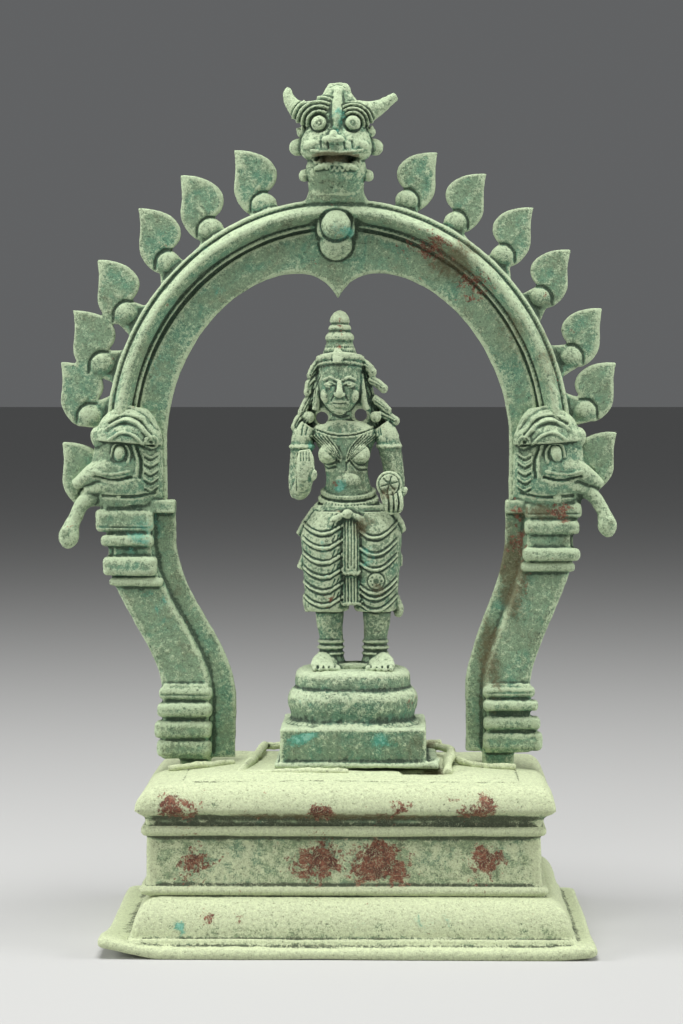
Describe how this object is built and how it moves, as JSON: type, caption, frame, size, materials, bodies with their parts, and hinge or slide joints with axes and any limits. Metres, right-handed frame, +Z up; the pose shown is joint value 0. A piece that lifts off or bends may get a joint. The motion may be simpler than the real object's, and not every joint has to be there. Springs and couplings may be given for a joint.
{
  "type": "votive deity figure",
  "caption": "Cast bronze votive deity standing on a stepped pedestal under a flame-leaved arch with a monster mask, set on a hollow moulded plinth.",
  "frame": {"origin": "on the ground under the middle of the plinth, centred on the whole work", "axes": "+Z up, the figure faces -Y, +X runs to the right of someone who faces the work from the front"},
  "size_m": [0.1853, 0.114, 0.281],
  "materials": {
    "plinth_bronze": "old cast bronze under a pale grey-green patina, with bare red-brown metal where it is worn",
    "arch_bronze": "old cast bronze under a mottled sea-green patina, browner on the inner band",
    "figure_bronze": "old cast bronze under a green patina, dark in the carving and dusty on the ledges"
  },
  "bodies": {
    "root": {"plinth": "plinth_bronze", "aureole_arch": "arch_bronze", "deity_figure": "figure_bronze"}
  },
  "joints": []
}
